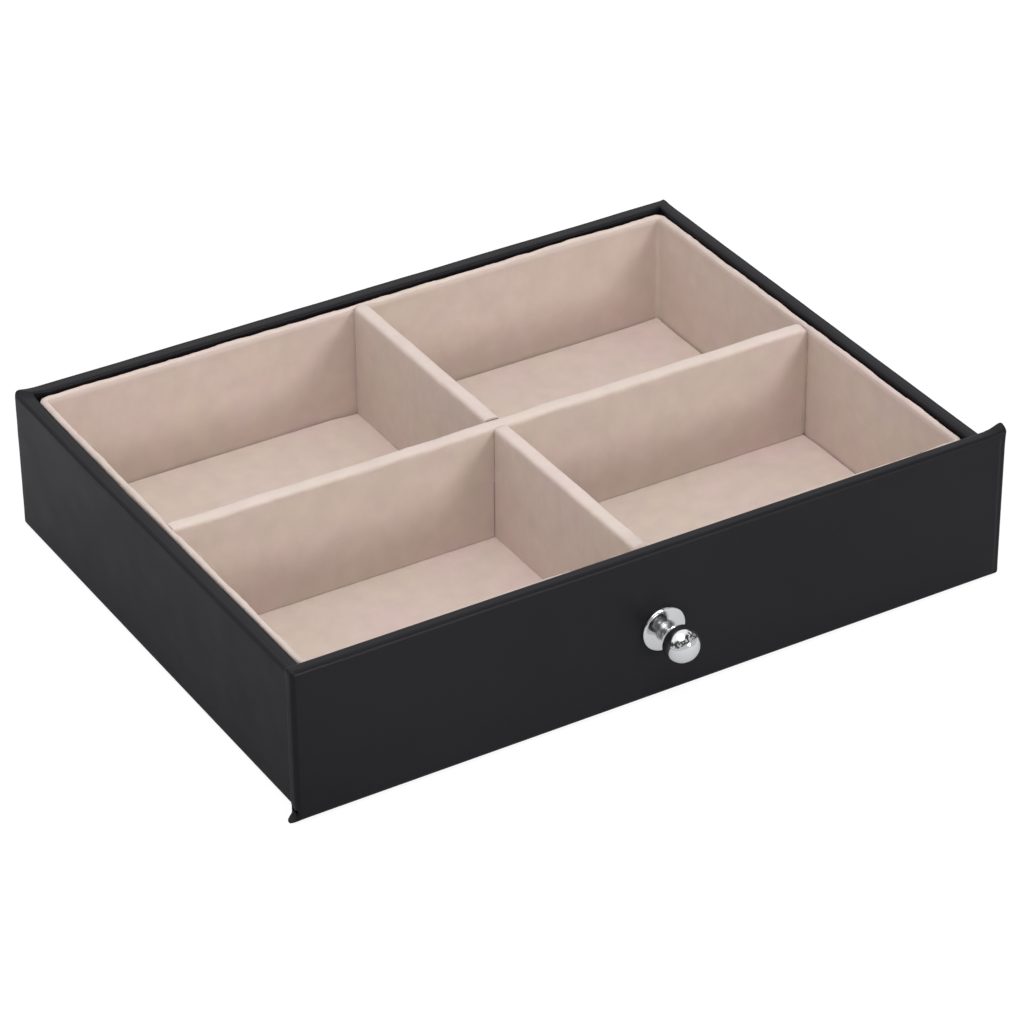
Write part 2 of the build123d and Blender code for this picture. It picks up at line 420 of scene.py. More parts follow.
def velvet_finish(name, painted_light_level, highlight_share, ridge=(0.9 * mm, 0.1 * mm), highlight_left_at_crest=1.0):
    """Short beige velvet: rosy and sandy patches where the pile leans, a soft sheen and a fine nap. All its
    shades are multiplied by the painted light level, which makes paler and darker copies of the one velvet
    as painted light and shade. Near the tray's top it is paler by a painted highlight of the highlight
    share, which fades in between the ridge's two depths below the tray's top, and of which the crest's
    share is left at the top."""
    settings = {
        "Roughness": 0.95,
        "Specular IOR Level": 0.12,
        "Sheen Weight": 0.35,
        "Sheen Roughness": 0.45,
        "Sheen Tint": (1.0, 0.93, 0.88, 1.0),
    }
    finish, tree, place = new_finish(name, settings)
    shades = np.array([(0.645, 0.510, 0.472), (0.622, 0.530, 0.436), (0.545, 0.440, 0.392)])
    # Painted light and shade: the shades are scaled by the painted light level, which differs between copies
    # of this velvet
    rosy, sandy, deep = (painted_light_level * shades).tolist()
    # Painted highlight: a pale pinkish white laid on the velvet near the tray's top, where the fold catches
    # the light
    painted_highlight = (0.80, 0.70, 0.66)
    crest = (0.8 * mm, 0.2 * mm)
    patches = tint(tree, speckle(tree, place, 20 * mm, 4), rosy, sandy)
    lean = between(tree, speckle(tree, place, 7 * mm, 5), 0.0, 0.55)
    pile = blend(tree, lean, patches, deep)
    height = node(tree, "SeparateXYZ", {0: place}).outputs["Z"]
    # Band of the painted highlight below the tray's top, and how much of it is left at the crest
    highlight_band = ramped(tree, height, *(tray_high[2] - np.array(ridge)), 0.0, highlight_share)
    highlight_crest_fade = ramped(tree, height, *(tray_high[2] - np.array(crest)), 1.0, highlight_left_at_crest)
    colour = blend(tree, worked_out(tree, "MULTIPLY", highlight_band, highlight_crest_fade), pile, painted_highlight)
    nap = relief(tree, speckle(tree, place, 0.35 * mm, 3), 0.05 * mm)
    crush = relief(tree, speckle(tree, place, 5 * mm, 3), 0.22 * mm, nap)
    return laid_on(finish, {"Base Color": colour, "Normal": crush})


def chrome_finish():
    """Polished chrome plate with the faintest handling haze. In the waist behind the ball, which is told by
    its distance from the knob's axis and from its foot, it is rougher, and darker by painted shade."""
    finish, tree, place = new_finish("chrome_plate", {"Metallic": 1.0})
    haze = between(tree, speckle(tree, place, 2.5 * mm, 4), 0.08, 0.13)
    axis = (ball_low + ball_high) / 2
    # Painted shade: the waist behind the ball gets a darker base colour, for the shade between the ball and
    # the plate
    bright, waist_shade_colour = (0.78, 0.78, 0.785), (0.42, 0.42, 0.42)
    added_haze = 0.22
    flat_place = {"Vector": place, "Location": (-axis[0], 0, -axis[2]), "Scale": (1, 0, 1)}
    beside = node(tree, "Mapping", flat_place).outputs["Vector"]
    radius = node(tree, "VectorMath", {0: beside}, operation="LENGTH").outputs["Value"]
    close = ramped(tree, radius, 3.9 * mm, 3.2 * mm)
    depth = node(tree, "SeparateXYZ", {0: place}).outputs["Y"]
    behind = ramped(tree, depth, ball_high[1] - 4.6 * mm, ball_high[1] - 3.6 * mm)
    # The waist mask carries painted shade into the base colour and added haze into the roughness
    waist = worked_out(tree, "MULTIPLY", close, behind)
    return laid_on(finish, {
        "Base Color": blend(tree, waist, bright, waist_shade_colour),
        "Roughness": worked_out(tree, "MULTIPLY_ADD", waist, added_haze, haze),
        "Normal": relief(tree, speckle(tree, place, 3 * mm, 1), 0.006 * mm),
    })


def zinc_finish():
    """Zinc plate on the hidden screw: dull grey with fine crystals."""
    finish, tree, place = new_finish("zinc_plate", {"Metallic": 1.0})
    crystals = speckle(tree, place, 0.8 * mm, 3)
    return laid_on(finish, {
        "Base Color": tint(tree, crystals, (0.50, 0.51, 0.53), (0.66, 0.67, 0.69)),
        "Roughness": between(tree, speckle(tree, place, 0.5 * mm, 3), 0.28, 0.42),
    })


def board_finish():
    """Raw fibreboard: brown, with short pressed fibres."""
    finish, tree, place = new_finish("raw_fibreboard", {"Roughness": 0.85})
    fibres = speckle(tree, place, 0.9 * mm, 5, (1, 1, 2.5))
    return laid_on(finish, {
        "Base Color": tint(tree, fibres, (0.36, 0.25, 0.155), (0.50, 0.365, 0.235)),
        "Normal": relief(tree, fibres, 0.04 * mm),
    })


def card_finish():
    """Grey recycled card: flecked, matt."""
    finish, tree, place = new_finish("grey_card", {"Roughness": 0.9})
    flecks = speckle(tree, place, 1.1 * mm, 5)
    return laid_on(finish, {
        "Base Color": tint(tree, flecks, (0.33, 0.315, 0.29), (0.46, 0.44, 0.41)),
        "Normal": relief(tree, flecks, 0.02 * mm),
    })


def foam_finish():
    """Thin open-cell foam sheet, off-white."""
    finish, tree, place = new_finish("pad_foam", {"Roughness": 0.95})
    cells = pores(tree, place, 0.5 * mm, "F1")
    return laid_on(finish, {
        "Base Color": tint(tree, cells, (0.60, 0.585, 0.53), (0.84, 0.82, 0.76)),
        "Normal": relief(tree, cells, 0.12 * mm),
    })


def paper_finish():
    """Black lining paper with an even pressed tooth."""
    finish, tree, place = new_finish("black_lining_paper", {"Roughness": 0.75})
    tooth = speckle(tree, place, 0.6 * mm, 4)
    return laid_on(finish, {
        "Base Color": tint(tree, tooth, (0.022, 0.021, 0.021), (0.040, 0.039, 0.038)),
        "Normal": relief(tree, tooth, 0.03 * mm),
    })


# Leather on the drawer box

def crowned(start, end, level, crown):
    """A nearly flat top from start to end that drops at both ends by the crown: its drop grows with the
    square of the distance from the middle, which stands a little above the level."""
    count, middle_rise = 9, 0.05 * mm
    across = np.linspace(start, end, count)
    drop = crown * np.linspace(-1, 1, count) ** 2
    return np.stack([across, level + middle_rise - drop], -1)


def corner_fold(points, side, height):
    """Lift of the folded back corner on one side of the rim: a ridge along the diagonal from the corner
    inward, steep on one side and easing off on the other, that fades out below the rim."""
    steep_reach, gentle_reach = 0.5 * mm, 2.4 * mm
    corner_x = case_high[0] if side > 0 else case_low[0]
    from_corner = points[..., :2] - np.array((corner_x, case_high[1]))
    inward = np.array((-side, -1)) / 2 ** 0.5
    beside = from_corner[..., 0] * inward[1] - from_corner[..., 1] * inward[0]
    along = from_corner @ inward
    across = np.where(beside > 0, fading(beside, steep_reach), fading(beside, gentle_reach))
    near_rim = eased(points[..., 2], case_high[2] - 3 * mm, case_high[2] - 0.5 * mm)
    return height * across * eased(along, -2 * mm, 1 * mm) * near_rim


def side_leather():
    """Leather round the left, back and right sides. Its section, given as inset from the outer face and
    height, runs in under the bottom, up the outside, over the crowned rim, down the inside and back along
    the board. It is carried round three sides of the box.

    Soft ripples swell it along its normals, and a ridge lifts it at each back corner of the rim. Towards
    the front the left side leans out, more the higher it is, and its top sinks, more on the inner edge. The
    back's rim is rolled inward, and its inner half lifted, between the corners."""
    low, high, radius, inner = case_low[2], case_high[2], rim_radius, inner_rim_radius
    outside = [
        run((turn_under, low), (foot_radius, low), 8),
        arc((foot_radius, low + foot_radius), foot_radius, 270, 180, 9),
        run((0, low + foot_radius), (0, high - radius), 26),
        arc((radius, high - radius), radius, 180, 90, 11)[:-1],
        crowned(radius, wall_thick - inner, high, rim_crown),
        arc((wall_thick - inner, high - inner), inner, 90, 0, 9)[1:],
        run((wall_thick, high - inner), (wall_thick, lip_low[2]), 8),
    ]
    inside = np.array([
        (wall_thick - leather_thick, lip_low[2]),
        (wall_thick - leather_thick, high - leather_thick),
        (leather_thick, high - leather_thick),
        (leather_thick, low + leather_thick),
        (turn_under, low + leather_thick),
    ])
    outer_count = sum(len(part) for part in outside)
    section = np.concatenate([*outside, inside])
    points = carried(section, case_low, case_high, case_corner_radius, (96, 74, 10), open_front=True)
    showing = np.arange(len(section)) < outer_count
    clear_of_floor = eased(points[..., 2], low + 0.5 * mm, low + 3 * mm)
    swell = uneven(points, (0.05 * mm, 34 * mm, 3), (0.02 * mm, 9 * mm, 4)) * clear_of_floor * showing
    points = points + outward_normals(points, outer_count // 2) * swell[..., None]

    # x, y and z are views of the points, so a change to them moves the points
    x, y, z = np.moveaxis(points, -1, 0)
    z += (corner_fold(points, -1, back_left_fold) + corner_fold(points, 1, back_right_fold)) * showing

    towards_front = eased(case_high[1] - y, 4 * mm, 60 * mm)
    on_left = (1 - eased(x - case_low[0], wall_thick, wall_thick + 2 * mm)) * towards_front
    upper = eased(z, low + 6 * mm, high)
    at_top = eased(z, high - 6 * mm, high)
    sink = outer_sink + (inner_sink - outer_sink) * eased(x - case_low[0], 0, wall_thick)
    x -= left_lean * upper * on_left
    z -= sink * at_top * on_left

    from_back = case_high[1] - y
    between_corners = eased(case_high[0] - wall_thick - np.abs(x), 0, 5 * mm)
    on_back = (from_back < wall_thick + 1 * mm) * between_corners * showing
    rolled = eased(from_back, 1 * mm, wall_thick - 0.5 * mm) * eased(z, high - 3 * mm, high - 0.6 * mm)
    lifted = eased(from_back, wall_thick / 2, wall_thick - inner) * eased(z, high - 0.9 * mm, high - 0.3 * mm)
    y -= back_roll * on_back * rolled
    z += back_lift * on_back * lifted
    return piece("side_wrap_leather", [(points, False, True, True)])


def lip_leather():
    """Leather strip over the box's own front wall: the rim's section, carried straight across, with a top
    that dips a little by a soft ripple."""
    high, radius = lip_high[2], rim_radius
    outside = [
        run((lip_low[1], high), (lip_high[1] - radius, high), 6),
        arc((lip_high[1] - radius, high - radius), radius, 90, 0, 11),
        run((lip_high[1], high - radius), (lip_high[1], lip_low[2]), 6),
    ]
    inside = np.array([
        (lip_high[1] - leather_thick, lip_low[2]),
        (lip_high[1] - leather_thick, high - leather_thick),
        (lip_low[1], high - leather_thick),
    ])
    section = np.concatenate([*outside, inside])
    across = np.linspace(lip_low[0], lip_high[0], 121)[:, None]
    points = np.empty((len(across), len(section), 3))
    points[..., 0] = across
    points[..., 1:] = section
    dip = uneven(points, (0.05 * mm, 26 * mm, 5)) * eased(points[..., 2], lip_low[2], high)
    points[..., 2] -= np.abs(dip)
    return piece("front_lip_leather", [(points, False, True, True)])


# Leather on the front panel

def gathered(points):
    """How far the leather gathered at the panel's ends is moved, across and up. At each corner an outward
    push fades by the bell curve with the distance from the corner and with the depth in the panel's
    thickness. The left end is drawn in a little, and more in a narrow pinch above its foot. Along the right
    end a low fold stands out."""
    depth = (points[..., 1] - panel_low[1]) / (panel_high[1] - panel_low[1])
    across, up = np.zeros(points.shape[:-1]), np.zeros(points.shape[:-1])
    for side, top, out, away, reach, deepest in corner_folds:
        corner_x = panel_high[0] if side > 0 else panel_low[0]
        corner_z = panel_high[2] if top > 0 else panel_low[2]
        distance = np.hypot(points[..., 0] - corner_x, points[..., 2] - corner_z)
        strength = fading(distance, reach) * fading(depth - deepest, fold_depth)
        across += side * out * strength
        up += top * away * strength
    on_left = fading(points[..., 0] - panel_low[0], end_reach)
    on_right = fading(panel_high[0] - points[..., 0], end_reach)
    pinch = fading(points[..., 2] - panel_low[2] - pinch_height, pinch_reach)
    across += (left_draw + pinch_draw * pinch) * on_left
    across += right_fold * on_right * fading(depth - right_fold_middle, right_fold_depth)
    return across, up


def panel_leather():
    """Leather over the panel's face and edges, turned in at the back. Its section, given as inset from the
    edge and depth, runs from the back margin round the edge to the face, with a flat field inside it, and
    returns one leather's thickness deeper. It is gathered at the ends, its face swells by soft ripples, and
    a groove that fades by the bell curve runs up the face beside the right end's fold."""
    front, back, radius, thick = panel_low[1], panel_high[1], panel_edge_radius, leather_thick
    outside = [
        run((panel_margin, back), (radius, back), 8),
        arc((radius, back - radius), radius, 90, 180, 9),
        run((0, back - radius), (0, front + radius), 5),
        arc((radius, front + radius), radius, 180, 270, 11),
        run((radius, front), (face_inset, front), 11),
    ]
    inside = [
        run((face_inset, front + thick), (thick, front + thick), 3),
        run((thick, front + thick), (thick, back - thick), 3),
        run((thick, back - thick), (panel_margin, back - thick), 3),
    ]
    counts = (110, 30, 8)
    low, high = panel_low[[0, 2]], panel_high[[0, 2]]

    def ring(section):
        made = carried(np.concatenate(section), low, high, panel_corner_radius, counts)
        return made[..., [0, 2, 1]]

    def face(depth):
        return field(low, high, face_inset, counts, depth)[..., [0, 2, 1]]

    def dressed(points):
        across, up = gathered(points)
        swell = uneven(points, (0.05 * mm, 46 * mm, 11), (0.018 * mm, 12 * mm, 12))
        groove = groove_depth * fading(panel_high[0] - points[..., 0] - groove_from_end, groove_reach)
        on_face = 1 - eased(points[..., 1], front, front + 0.6 * mm)
        made = points.copy()
        made[..., 0] += across
        made[..., 1] += (groove - swell) * on_face
        made[..., 2] = np.maximum(made[..., 2] + up, ground_gap)
        return made

    outer, inner = ring(outside), ring(inside)
    back_edge = np.stack([inner[:, -1], outer[:, 0]], 1)
    grids = [
        (dressed(outer), True, False, False),
        (dressed(face(front)), False, False, False),
        (inner, True, False, False),
        (face(front + thick), False, False, False),
        (back_edge, True, False, False),
    ]
    return piece("front_panel_leather", grids)


# Chrome knob

def turned(name, profile, centre, steps=96):
    """A profile of (radius, y) points turned about the knob's own axis, which runs front to back."""
    angle = np.linspace(0, 2 * np.pi, steps, endpoint=False)[:, None]
    points = np.empty((steps, len(profile), 3))
    points[..., 0] = centre[0] + profile[:, 0] * np.cos(angle)
    points[..., 1] = profile[:, 1]
    points[..., 2] = centre[2] + profile[:, 0] * np.sin(angle)
    return piece(name, [(points, True, False, False)], crease=32)


def knob_ball():
    """Ball of the knob with its waisted neck: from the bore's floor out to the foot, over a collar, along a
    cove whose radius follows a quarter sine, and round the ball to its tip."""
    centre = (ball_low + ball_high) / 2
    foot, tip = ball_high[1], ball_low[1]
    radius = (ball_high[0] - ball_low[0]) / 2
    middle = tip + radius
    neck_end = math.asin(neck_radius / radius)
    neck_end_y = middle + radius * math.cos(neck_end)
    collar = foot - neck_foot_thick
    collar_edge = neck_foot_radius - 0.12 * mm
    cove_start_radius = neck_foot_radius - 0.25 * mm
    cove_end = (collar + neck_end_y) / 2
    share = np.linspace(0, 1, 14)
    cove = np.stack([
        neck_radius + (cove_start_radius - neck_radius) * (1 - np.sin(share * np.pi / 2)),
        collar + (cove_end - collar) * share,
    ], -1)
    bore_floor = middle + bore_floor_depth
    profile = np.concatenate([
        [(0, bore_floor), (bore_radius, bore_floor)],
        run((bore_radius, foot), (collar_edge, foot), 3),
        arc((neck_foot_radius - collar_round, (foot + collar) / 2), collar_round, 90, -90, 9),
        cove,
        run((neck_radius, cove_end), (neck_radius, neck_end_y), 4),
        arc((0, middle), radius, 90 - math.degrees(neck_end), -90, 72),
    ])
    profile[-1, 0] = 0
    return turned("knob_ball_chrome", profile, centre)


def knob_plate():
    """Round plate under the knob: a rounded back edge, a straight rim, a rounded bevel and a low cone up to
    the neck."""
    centre = (plate_low + plate_high) / 2
    back, front = plate_high[1], plate_low[1]
    radius = (plate_high[0] - plate_low[0]) / 2
    rim_front = back - plate_rim
    cone_start = (radius - 1.0 * mm, rim_front - 0.62 * mm)
    profile = np.concatenate([
        run((bore_radius, back), (radius - 0.1 * mm, back), 4),
        arc((radius - plate_round, back - plate_round), plate_round, 90, 0, 5),
        run((radius, back - 0.2 * mm), (radius, rim_front + 0.3 * mm), 3),
        arc((radius - plate_bevel, rim_front + 0.1 * mm), plate_bevel, 0, -72, 10),
        run(cone_start, (neck_foot_radius, front), 8),
        [(bore_radius, front), (bore_radius, back)],
    ])
    return turned("knob_plate_chrome", profile, centre)


# Velvet lining

def strip_size(section, plan):
    """Flat width and length of a strip: the section's own length, and the mean length of the loops that the
    section's points make."""
    width = np.linalg.norm(np.diff(section, axis=0), axis=1).sum()
    loops = np.concatenate([plan, plan[:1]])
    length = np.linalg.norm(np.diff(loops, axis=0), axis=-1).sum(0).mean()
    return float(width), float(length)


def wall_velvet():
    """Velvet on the tray's walls. Its section, given as inset from the tray's outer face and height, runs up
    the outside from the turn-over, over a full round lip and down the inside to the floor card, then back
    along the card. It goes all round the tray.

    Ripples along its normals make it uneven, most along the lip, and its inner side rolls out into the tray
    just below the top, clear of the dividers. On the outer side, over the card, that move is held within
    narrow limits. The walls' upper half is drawn inward: the left one by a shift that falls off as an
    exponential from the back to the front, the right and the back one by a small shift."""
    low, high, radius, thick = tray_low[2], tray_high[2], lip_radius, velvet_thick
    outside = np.concatenate([
        run((0, high - velvet_turn_over), (0, high - radius), 7),
        arc((radius, high - radius), radius, 180, 90, 9),
        arc((lining_thick - radius, high - radius), radius, 90, 0, 9),
        run((lining_thick, high - radius), (lining_thick, low), 18),
    ])
    inside = np.array([
        (lining_thick - thick, low),
        (lining_thick - thick, high - thick),
        (thick, high - thick),
        (thick, high - velvet_turn_over),
    ])
    section = np.concatenate([outside, inside])
    inset = section[:, 0]
    showing = np.arange(len(section)) < len(outside)
    points = carried(section, tray_low, tray_high, tray_corner_radius, (250, 190, 14))
    flat_size = strip_size(outside, points[:, :len(outside), :2])

    x, y, z = np.moveaxis(points, -1, 0)
    at_lip = eased(z, high - 3 * mm, high - 0.5 * mm)
    clear_of_dividers = eased(np.abs(y - long_y), 3 * mm, 8 * mm) * eased(np.abs(x - cross_x), 3 * mm, 8 * mm)
    inner = eased(inset, 0.3 * lining_thick, 0.85 * lining_thick) * clear_of_dividers
    roll = lip_roll + left_roll_more * (x < tray_low[0] + 3 * mm)
    roll *= eased(z, high - 4.5 * mm, high - 1.2 * mm) * (1 - 0.6 * eased(z, high - 0.8 * mm, high))
    wander = uneven(points, (0.12 * mm, 15 * mm, 21), (0.07 * mm, 5 * mm, 24), (0.04 * mm, 2.2 * mm, 25))
    wander = wander * at_lip + (uneven(points, (0.10 * mm, 42 * mm, 22)) + roll) * inner
    over_card = inset < 0.6 * mm
    wander = np.where(over_card, np.clip(wander, *over_card_limits), wander)
    points = points + outward_normals(points, 3) * (wander * showing)[..., None]

    x, y, z = np.moveaxis(points, -1, 0)
    z += uneven(points, (0.10 * mm, 30 * mm, 23), (0.05 * mm, 6 * mm, 26)) * at_lip * showing
    upper = eased(z, (low + high) / 2, high)
    from_back = tray_high[1] - y
    on_left = fading(x - tray_low[0], shift_width) * np.exp(-from_back / left_shift_reach)
    on_right = fading(x - tray_high[0], shift_width)
    inner_share = eased(inset, 0.3 * mm, lining_thick)
    left_shift = left_outer_shift + (left_inner_shift - left_outer_shift) * inner_share
    x += left_shift * upper * on_left
    x -= right_shift * upper * on_right
    y -= back_shift * upper * fading(from_back, shift_width)
    return piece("wall_lining_velvet", [(points, True, True, False)]), flat_size


def floor_velvet():
    """Velvet over the floor pad: a thin cushion that falls in a quarter round at its edges, with a hollow
    underneath for the foam. Clear of the dividers it rises towards the middle of each compartment, by an
    uneven height, and by the bell curve towards the back and the right wall."""
    low, high, radius = pad_low[2], pad_high[2], floor_edge_radius
    hollow = foam_low[0] - pad_low[0]
    field_inset = 2.2 * mm
    outside = np.concatenate([
        run((hollow, low), (0.05 * mm, low), 3),
        run((0, low), (0, high - radius), 4),
        arc((radius, high - radius), radius, 180, 90, 9),
        run((radius, high), (field_inset, high), 3),
    ])
    inside = np.concatenate([
        run((field_inset, foam_high[2]), (hollow, foam_high[2]), 3),
        run((hollow, foam_high[2]), (hollow, low), 3),
    ])
    counts = (130, 100, 2)

    def ring(section):
        return carried(section, pad_low, pad_high, floor_corner_radius, counts)

    def cushioned(points):
        x, y, z = np.moveaxis(points, -1, 0)
        clear = eased(np.abs(y - long_y), 4 * mm, 14 * mm) * eased(np.abs(x - cross_x), 4 * mm, 14 * mm)
        from_back, from_right = pad_high[1] - y, pad_high[0] - x
        from_edge = np.minimum(np.minimum(x - pad_low[0], from_right), np.minimum(y - pad_low[1], from_back))
        rise = cushion_rise + uneven(points, (0.12 * mm, 26 * mm, 31))
        rise = rise * eased(from_edge, 0, 12 * mm)
        rise += back_edge_rise * fading(from_back, edge_rise_reach)
        rise += right_edge_rise * fading(from_right, edge_rise_reach)
        on_top = eased(z, high - 0.7 * mm, high)
        return np.stack([x, y, z + on_top * clear * rise], -1)

    grids = [
        (cushioned(ring(outside)), True, False, False),
        (cushioned(field(pad_low, pad_high, field_inset, counts, high)), False, False, False),
        (ring(inside), True, False, False),
        (field(pad_low, pad_high, field_inset, counts, foam_high[2]), False, False, False),
    ]
    return piece("floor_velvet_pad", grids)


# Padded dividers

def round_off(distance, radius):
    """Drop of an edge that is rounded over: radius less a quarter circle's height at that distance in."""
    inward = np.clip(distance, 0, radius)
    return radius - np.sqrt(radius ** 2 - (radius - inward) ** 2)


def divider_cover(name, places, sizes, slot, end_radii, seed):
    """Padded cover of a divider along its own length. Each section is a round-topped outline with a slot for
    the card inside it: straight flanks under a dome that follows a circle's sine and cosine to the power of
    0.62. sizes are half length, half width, foot, top, half the card's width and the card's top. slot is
    (start, end, level, from_below): between start and end the cover stops at that level. end_radii round
    the top at its low end, before the slot, after the slot and at its high end.

    Ripples make its flanks and top uneven, and it narrows over the last stretch at both ends. places turns
    points along, across and up into the drawer's own."""
    half_length, half_width, foot, top, card_half, card_top = sizes
    start, end, level, from_below = slot
    low_radius, before_radius, after_radius, high_radius = end_radii
    card_end = half_length - (top - card_top)
    step, last_step = 0.9 * mm, 1.7 * mm
    end_narrowing, end_stretch = 0.12, 2 * mm
    dome_power = 0.62
    slot_rise, slot_skin = 0.1 * mm, 0.15 * mm
    top_drop, flank_drop = 0.1 * mm, 0.4 * mm

    # Places along the length, closer together at the slot's ends and on the rounded ends
    rounded = 1 - np.cos(np.radians(np.linspace(0, 90, 9)))
    closer = np.array([0.0, 0.0, 0.1, 0.25, 0.5, 0.8, 1.2, 1.6]) * mm
    card_ends = [-card_end, -card_end, card_end, card_end]
    low_end = np.arange(-half_length + low_radius + step, start - last_step, step)
    high_end = np.arange(end + step, half_length - high_radius, step)
    left = np.concatenate([-half_length + low_radius * rounded, low_end])
    right = np.concatenate([high_end, half_length - high_radius * rounded])
    length = np.sort(np.concatenate([left, start - closer, end + closer, right, card_ends]))
    inside_slot = (length > start) & (length < end)
    inside_slot[[np.flatnonzero(length == start)[-1], np.flatnonzero(length == end)[0]]] = True
    cavity = np.abs(length) < card_end
    cavity[[np.flatnonzero(length == -card_end)[-1], np.flatnonzero(length == card_end)[0]]] = True

    along = np.stack([length, np.full_like(length, seed), np.zeros_like(length)], -1)
    height = top - top_drop + uneven(along, (0.13 * mm, 21 * mm, seed))
    height -= round_off(half_length - length, high_radius)
    height -= round_off(half_length + length, low_radius)
    rise = np.full_like(length, cover_crown)
    bottom = np.full_like(length, foot)
    card_roof = np.full_like(length, card_top)
    if from_below:
        bottom[inside_slot] = level
    else:
        height -= round_off(np.where(length < start, start - length, np.inf), before_radius)
        height -= round_off(np.where(length > end, length - end, np.inf), after_radius)
        height[inside_slot] = level + slot_rise
        rise[inside_slot] = 0
        card_roof[inside_slot] = level - slot_skin
    at_ends = eased(np.abs(length), half_length - end_stretch, half_length)
    width = half_width * (1 - end_narrowing * at_ends ** 2)

    turn = np.radians(np.linspace(180, 0, 25))
    dome_across = np.sign(np.cos(turn)) * np.abs(np.cos(turn)) ** dome_power
    dome_up = np.sin(turn) ** dome_power
    flank = np.linspace(level, top - cover_crown - flank_drop, 6)[1:]
    columns = []

    def add(across, up):
        columns.append(np.stack([length, across * np.ones_like(length), up * np.ones_like(length)], -1))

    for side in (-1, 1):
        flank_heights = [bottom, np.maximum(np.minimum(level, height), bottom)]
        flank_heights += [np.minimum(value, height - rise) for value in flank]
        if side > 0:
            flank_heights.reverse()
        for value in flank_heights:
            add(side * width, np.maximum(value, bottom))
        if side < 0:
            for across, up in zip(dome_across, dome_up):
                add(across * width, height - rise * (1 - up))
    outer_count = len(columns)
    roof = np.where(cavity, card_roof, bottom)
    middle = np.where(cavity, np.clip(level, bottom, roof), bottom)
    for value in (bottom, middle, roof):
        add(card_half, value)
    for value in (roof, middle, bottom):
        add(-card_half, value)
    points = np.stack(columns, 1)

    outer = np.arange(len(columns)) < outer_count
    swell = np.sign(points[..., 1]) * np.abs(points[..., 1] / half_width) ** 2
    ripples = (0.07 * mm, 24 * mm, seed + 1), (0.045 * mm, 3.2 * mm, seed + 2)
    points[..., 1] += swell * uneven(points, *ripples) * outer
    on_top = eased(points[..., 2], top - cover_crown, top - 0.3 * mm)
    points[..., 2] += uneven(points, (0.04 * mm, 4 * mm, seed + 3)) * on_top * outer
    return piece(name, [(places(points), False, True, True)])


def long_cover():
    """Cover of the side-to-side divider, slotted from below over the short one."""
    slot_half = cross_half + lap_side_gap
    sizes = (
        long_high[0] + cover_end_swell,
        (long_high[1] - long_low[1]) / 2,
        long_low[2],
        long_high[2],
        (long_core_high[1] - long_core_low[1]) / 2,
        long_core_high[2],
    )

    def places(points):
        return np.stack([points[..., 0], long_y + points[..., 1], points[..., 2]], -1)

    slot = (cross_x - slot_half, cross_x + slot_half, lap_level + lap_half_gap, True)
    return divider_cover("long_divider_cover", places, sizes, slot, (0.4 * mm, 0, 0, 2.4 * mm), 41)


def cross_cover():
    """Cover of the front-to-back divider, slotted from above to take the long one."""
    centre_y = (cross_low[1] + cross_high[1]) / 2
    start = long_low[1] - lap_front_gap - centre_y
    end = long_high[1] + lap_back_gap - centre_y
    sizes = (
        (cross_high[1] - cross_low[1]) / 2 + cover_end_swell,
        cross_half,
        cross_low[2],
        cross_high[2],
        (cross_core_high[0] - cross_core_low[0]) / 2,
        cross_core_high[2],
    )

    def places(points):
        return np.stack([cross_x - points[..., 1], centre_y + points[..., 0], points[..., 2]], -1)

    slot = (start, end, lap_level - lap_half_gap, False)
    end_radii = (1.2 * mm, 0.15 * mm, 0.5 * mm, 0.9 * mm)
    return divider_cover("cross_divider_cover", places, sizes, slot, end_radii, 52)


# Pieces, each with its finish and its body

finishes = {
    "black_leather": leather_finish(),
    "beige_velvet": velvet_finish("beige_velvet", 0.95, highlight_share=0.23),
    "chrome": chrome_finish(),
    "zinc_steel": zinc_finish(),
    "fibreboard": board_finish(),
    "grey_card": card_finish(),
    "pad_foam": foam_finish(),
    "black_paper": paper_finish(),
}
# Copies of one velvet that differ by painted light: the dividers' at 0.95 with a faint painted highlight on
# top, the lining's at 1.0 with a strong painted highlight along its lip, and the floor's paler at 1.05
lip_ridge = (2.8 * mm, 1.4 * mm)
lip_finish = velvet_finish("beige_velvet_lip", 1.0, highlight_share=0.5, ridge=lip_ridge, highlight_left_at_crest=0.1)
floor_finish = velvet_finish("beige_velvet_floor", 1.05, highlight_share=0)


def dress(made, body, slot, *nodes, finish=None):
    """Gives a new piece its finish and its body, and hides the pieces of the frame that it stands for."""
    made.data.materials.append(finish or finishes[slot])
    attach(made, body)
    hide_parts(*nodes)
    return made


dress(side_leather(), "drawer", "black_leather", "side_wrap")
dress(lip_leather(), "drawer", "black_leather", "front_lip_wrap")
dress(panel_leather(), "drawer", "black_leather", "front_wrap")
dress(knob_ball(), "drawer", "chrome", "knob_ball")
dress(knob_plate(), "drawer", "chrome", "knob_rosette")

lining, lining_flat = wall_velvet()
dress(lining, "tray", "beige_velvet", "wall_velvet", finish=lip_finish)
cushion = dress(floor_velvet(), "tray", "beige_velvet", "floor_velvet", finish=floor_finish)
dress(long_cover(), "long_divider", "beige_velvet", "long_divider_velvet")
dress(cross_cover(), "cross_divider", "beige_velvet", "cross_divider_velvet")

for part in frame["record"]["subparts"]:
    kept = frame["nodes"][part["node"]]
    for holder in kept.material_slots:
        holder.material = finishes[part["material_slot"]]


# Floor, light and camera

def seen_directly(tree):
    """1 where the camera or glass sees the surface, else 0."""
    path = node(tree, "LightPath").outputs
    return worked_out(tree, "MAXIMUM", path["Is Camera Ray"], path["Is Transmission Ray"])


def mixed(tree, share, first, second):
    """Two shaders mixed: the first alone at a share of 0, the second alone at 1."""
    return node(tree, "MixShader", {0: share, 1: first, 2: second}).outputs[0]


def even_light(tree, kind, strength, colour=(1, 1, 1, 1)):
    """Even light of one strength, from a glowing surface or from all round."""
    return node(tree, kind, {"Color": colour, "Strength": strength}).outputs[0]


